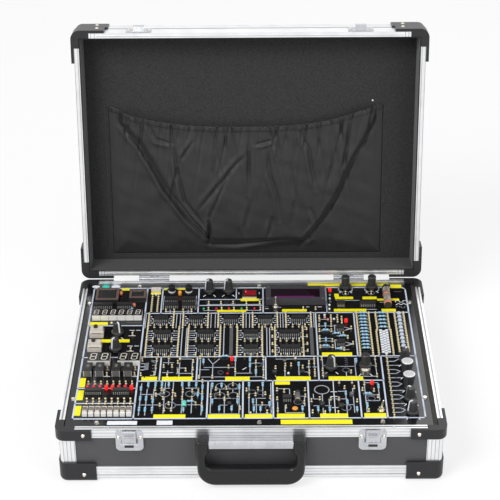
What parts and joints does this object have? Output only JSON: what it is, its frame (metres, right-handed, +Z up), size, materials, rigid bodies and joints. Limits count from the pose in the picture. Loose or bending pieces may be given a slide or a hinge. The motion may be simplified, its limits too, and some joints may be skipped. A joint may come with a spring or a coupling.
{
  "type": "digital logic trainer",
  "caption": "Open aluminium-edged carrying case with a black board full of logic chips, displays, knobs, switches and test pins.",
  "frame": {"origin": "centre of the bounding box, at the floor", "axes": "+X to the user's right along the case's width, +Y from the handle side to the hinges, +Z up"},
  "size_m": [0.4706, 0.468, 0.4247],
  "materials": {
    "aluminium_profile": "brushed",
    "wall_laminate": "matt embossed laminate on board",
    "corner_plastic": "matt moulded",
    "nickel_plate": "nickel plated",
    "latch_steel": "bright plated",
    "handle_plastic": "matt moulded",
    "black_felt": "felt",
    "pocket_cloth": "smooth nylon cloth",
    "batten_wood": "planed",
    "board_lacquer": "glossy lacquered laminate",
    "display_bezel": "satin",
    "digit_plastic": "gloss",
    "chip_epoxy": "matt",
    "switch_plastic": "satin",
    "led_plastic": "clear tinted",
    "knob_plastic": "satin",
    "knob_disc": "satin with a silver cap",
    "rocker_plastic": "gloss",
    "slider_plastic": "gloss",
    "button_plastic": "satin",
    "supply_steel": "zinc plated",
    "inlet_plastic": "moulded"
  },
  "bodies": {
    "case": {"base_floor_panel": "wall_laminate", "base_wall_panels": "wall_laminate", "base_closing_frame": "aluminium_profile", "base_edge_profiles": "aluminium_profile", "base_rim_corners": "corner_plastic", "base_foot_corners": "corner_plastic", "base_rivets": "nickel_plate", "board_rails": "batten_wood", "circuit_board": "board_lacquer", "board_screws": "nickel_plate", "handle_bracket": "latch_steel", "latch_plates": "latch_steel", "pivot_pins": "nickel_plate", "hinge_base_leaves": "latch_steel", "display_module": "display_bezel", "digit_displays": "digit_plastic", "chip_packages": "chip_epoxy", "control_bushes": "nickel_plate", "switch_bodies": "switch_plastic", "small_components": "led_plastic", "power_supply": "supply_steel", "mains_inlet": "inlet_plastic"},
    "lid": {"lid_panels": "wall_laminate", "lid_closing_frame": "aluminium_profile", "lid_edge_profiles": "aluminium_profile", "lid_corners": "corner_plastic", "lid_rivets": "nickel_plate", "lid_lining": "black_felt", "lid_pocket": "pocket_cloth", "lid_keepers": "latch_steel", "hinge_lid_leaves": "latch_steel"},
    "handle": {"handle_grip": "handle_plastic"},
    "latch_left": {"latch_lever_left": "latch_steel"},
    "latch_right": {"latch_lever_right": "latch_steel"},
    "knob_left_upper": {"knob_left_upper": "knob_plastic"},
    "knob_left_lower": {"knob_left_lower": "knob_plastic"},
    "knob_top_left": {"knob_top_left": "knob_plastic"},
    "knob_top_right": {"knob_top_right": "knob_plastic"},
    "knob_signal_left": {"knob_signal_left": "knob_plastic"},
    "knob_signal_right": {"knob_signal_right": "knob_plastic"},
    "knob_amplifier": {"knob_amplifier": "knob_plastic"},
    "knob_sensor": {"knob_sensor": "knob_plastic"},
    "pot_knob_1": {"pot_knob_1": "knob_plastic"},
    "pot_knob_2": {"pot_knob_2": "knob_disc"},
    "pot_knob_3": {"pot_knob_3": "knob_disc"},
    "pot_knob_4": {"pot_knob_4": "knob_plastic"},
    "pot_knob_5": {"pot_knob_5": "knob_plastic"},
    "toggle_display": {"toggle_display": "nickel_plate"},
    "toggle_speaker": {"toggle_speaker": "nickel_plate"},
    "power_rocker": {"power_rocker": "rocker_plastic"},
    "slide_actuator_1": {"slide_actuator_1": "slider_plastic"},
    "slide_actuator_2": {"slide_actuator_2": "slider_plastic"},
    "slide_actuator_3": {"slide_actuator_3": "slider_plastic"},
    "slide_actuator_4": {"slide_actuator_4": "slider_plastic"},
    "slide_actuator_5": {"slide_actuator_5": "slider_plastic"},
    "slide_actuator_6": {"slide_actuator_6": "slider_plastic"},
    "slide_actuator_7": {"slide_actuator_7": "slider_plastic"},
    "slide_actuator_8": {"slide_actuator_8": "slider_plastic"},
    "push_button_upper": {"push_button_upper": "button_plastic"},
    "push_button_lower": {"push_button_lower": "button_plastic"}
  },
  "joints": [
    {"name": "lid_hinge", "type": "hinge", "parent": "case", "child": "lid", "pos_m": [0, 0.12878, 0.07765], "axis": [1, 0, 0], "range_deg": [0, 99]},
    {"name": "handle_swing", "type": "hinge", "parent": "case", "child": "handle", "pos_m": [0, -0.22602, 0.062], "axis": [-1, 0, 0], "range_deg": [0, 150]},
    {"name": "latch_left_lift", "type": "hinge", "parent": "case", "child": "latch_left", "pos_m": [-0.145, -0.22172, 0.0586], "axis": [1, 0, 0], "range_deg": [0, 100]},
    {"name": "latch_right_lift", "type": "hinge", "parent": "case", "child": "latch_right", "pos_m": [0.145, -0.22172, 0.0586], "axis": [1, 0, 0], "range_deg": [0, 100]},
    {"name": "knob_left_upper_turn", "type": "hinge", "parent": "case", "child": "knob_left_upper", "pos_m": [-0.1745, -0.00602, 0.0775], "axis": [0, 0, 1], "range_deg": [-150, 150]},
    {"name": "knob_left_lower_turn", "type": "hinge", "parent": "case", "child": "knob_left_lower", "pos_m": [-0.1745, -0.04302, 0.0775], "axis": [0, 0, 1], "range_deg": [-150, 150]},
    {"name": "knob_top_left_turn", "type": "hinge", "parent": "case", "child": "knob_top_left", "pos_m": [-0.057, 0.09798, 0.0775], "axis": [0, 0, 1], "range_deg": [-150, 150]},
    {"name": "knob_top_right_turn", "type": "hinge", "parent": "case", "child": "knob_top_right", "pos_m": [-0.031, 0.09798, 0.0775], "axis": [0, 0, 1], "range_deg": [-150, 150]},
    {"name": "knob_signal_left_turn", "type": "hinge", "parent": "case", "child": "knob_signal_left", "pos_m": [0.1285, 0.10598, 0.0775], "axis": [0, 0, 1], "range_deg": [-150, 150]},
    {"name": "knob_signal_right_turn", "type": "hinge", "parent": "case", "child": "knob_signal_right", "pos_m": [0.1645, 0.10598, 0.0775], "axis": [0, 0, 1], "range_deg": [-150, 150]},
    {"name": "knob_amplifier_turn", "type": "hinge", "parent": "case", "child": "knob_amplifier", "pos_m": [0.101, -0.08702, 0.0775], "axis": [0, 0, 1], "range_deg": [-150, 150]},
    {"name": "knob_sensor_turn", "type": "hinge", "parent": "case", "child": "knob_sensor", "pos_m": [0.1435, -0.09102, 0.0825], "axis": [0, 0, 1], "range_deg": [-150, 150]},
    {"name": "pot_knob_1_turn", "type": "hinge", "parent": "case", "child": "pot_knob_1", "pos_m": [0.195, -0.07102, 0.0775], "axis": [0, 0, 1], "range_deg": [-150, 150]},
    {"name": "pot_knob_2_turn", "type": "hinge", "parent": "case", "child": "pot_knob_2", "pos_m": [0.195, -0.09902, 0.0775], "axis": [0, 0, 1], "range_deg": [-150, 150]},
    {"name": "pot_knob_3_turn", "type": "hinge", "parent": "case", "child": "pot_knob_3", "pos_m": [0.195, -0.12702, 0.0775], "axis": [0, 0, 1], "range_deg": [-150, 150]},
    {"name": "pot_knob_4_turn", "type": "hinge", "parent": "case", "child": "pot_knob_4", "pos_m": [0.195, -0.15502, 0.0775], "axis": [0, 0, 1], "range_deg": [-150, 150]},
    {"name": "pot_knob_5_turn", "type": "hinge", "parent": "case", "child": "pot_knob_5", "pos_m": [0.195, -0.18302, 0.0775], "axis": [0, 0, 1], "range_deg": [-150, 150]},
    {"name": "toggle_display_throw", "type": "hinge", "parent": "case", "child": "toggle_display", "pos_m": [0.0325, 0.05798, 0.0791], "axis": [1, 0, 0], "range_deg": [0, 26]},
    {"name": "toggle_speaker_throw", "type": "hinge", "parent": "case", "child": "toggle_speaker", "pos_m": [0.1575, -0.17702, 0.0791], "axis": [0, -1, 0], "range_deg": [0, 26]},
    {"name": "power_rocker_tilt", "type": "hinge", "parent": "case", "child": "power_rocker", "pos_m": [-0.0025, 0.08698, 0.0775], "axis": [0, -1, 0], "range_deg": [0, 18]},
    {"name": "slide_actuator_1_slide", "type": "slide", "parent": "case", "child": "slide_actuator_1", "axis": [0, 1, 0], "range_m": [0, 0.005]},
    {"name": "slide_actuator_2_slide", "type": "slide", "parent": "case", "child": "slide_actuator_2", "axis": [0, 1, 0], "range_m": [0, 0.005]},
    {"name": "slide_actuator_3_slide", "type": "slide", "parent": "case", "child": "slide_actuator_3", "axis": [0, 1, 0], "range_m": [0, 0.005]},
    {"name": "slide_actuator_4_slide", "type": "slide", "parent": "case", "child": "slide_actuator_4", "axis": [0, 1, 0], "range_m": [0, 0.005]},
    {"name": "slide_actuator_5_slide", "type": "slide", "parent": "case", "child": "slide_actuator_5", "axis": [0, 1, 0], "range_m": [0, 0.005]},
    {"name": "slide_actuator_6_slide", "type": "slide", "parent": "case", "child": "slide_actuator_6", "axis": [0, 1, 0], "range_m": [0, 0.005]},
    {"name": "slide_actuator_7_slide", "type": "slide", "parent": "case", "child": "slide_actuator_7", "axis": [0, 1, 0], "range_m": [0, 0.005]},
    {"name": "slide_actuator_8_slide", "type": "slide", "parent": "case", "child": "slide_actuator_8", "axis": [0, 1, 0], "range_m": [0, 0.005]},
    {"name": "push_button_upper_press", "type": "slide", "parent": "case", "child": "push_button_upper", "axis": [0, 0, -1], "range_m": [0, 0.002], "stiffness_N_per_m": 300, "springref_m": -0.001},
    {"name": "push_button_lower_press", "type": "slide", "parent": "case", "child": "push_button_lower", "axis": [0, 0, -1], "range_m": [0, 0.002], "stiffness_N_per_m": 300, "springref_m": -0.001}
  ]
}
